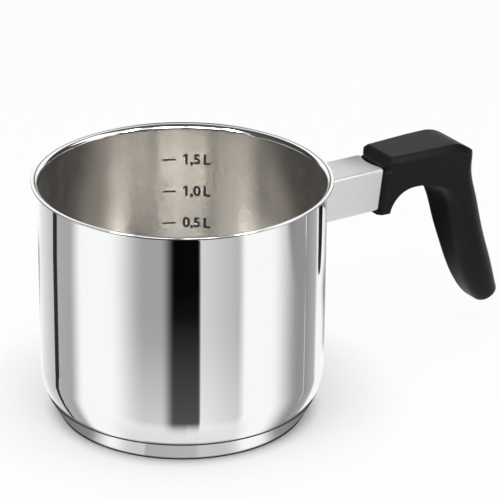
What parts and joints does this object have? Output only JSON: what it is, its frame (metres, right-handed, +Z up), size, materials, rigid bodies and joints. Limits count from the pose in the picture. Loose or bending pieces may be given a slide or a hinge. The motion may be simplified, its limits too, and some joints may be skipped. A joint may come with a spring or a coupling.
{
  "type": "milk pan",
  "caption": "Tall straight-sided steel milk pan with a flared pouring rim, a capsule base and a black drop handle on a square sleeve.",
  "frame": {"origin": "centre of the base's underside, on the surface the pan stands on", "axes": "+Z up through the mouth, +X along the arm to the handle, +Y to the left of someone who looks from the pot along the arm"},
  "size_m": [0.2648, 0.148, 0.1228],
  "materials": {
    "pot_steel": "mirror polished outside, satin turned inside",
    "base_steel": "mirror polished",
    "core_metal": "pressed, hidden",
    "sleeve_steel": "fine satin",
    "screw_steel": "zinc plated",
    "grip_plastic": "satin black moulding"
  },
  "bodies": {
    "root": {"pot_body": "pot_steel", "base_cap": "base_steel", "base_core": "core_metal", "handle_sleeve": "sleeve_steel", "handle_tongue": "sleeve_steel", "handle_screw": "screw_steel", "spring_washer": "screw_steel", "handle_grip": "grip_plastic"}
  },
  "joints": []
}
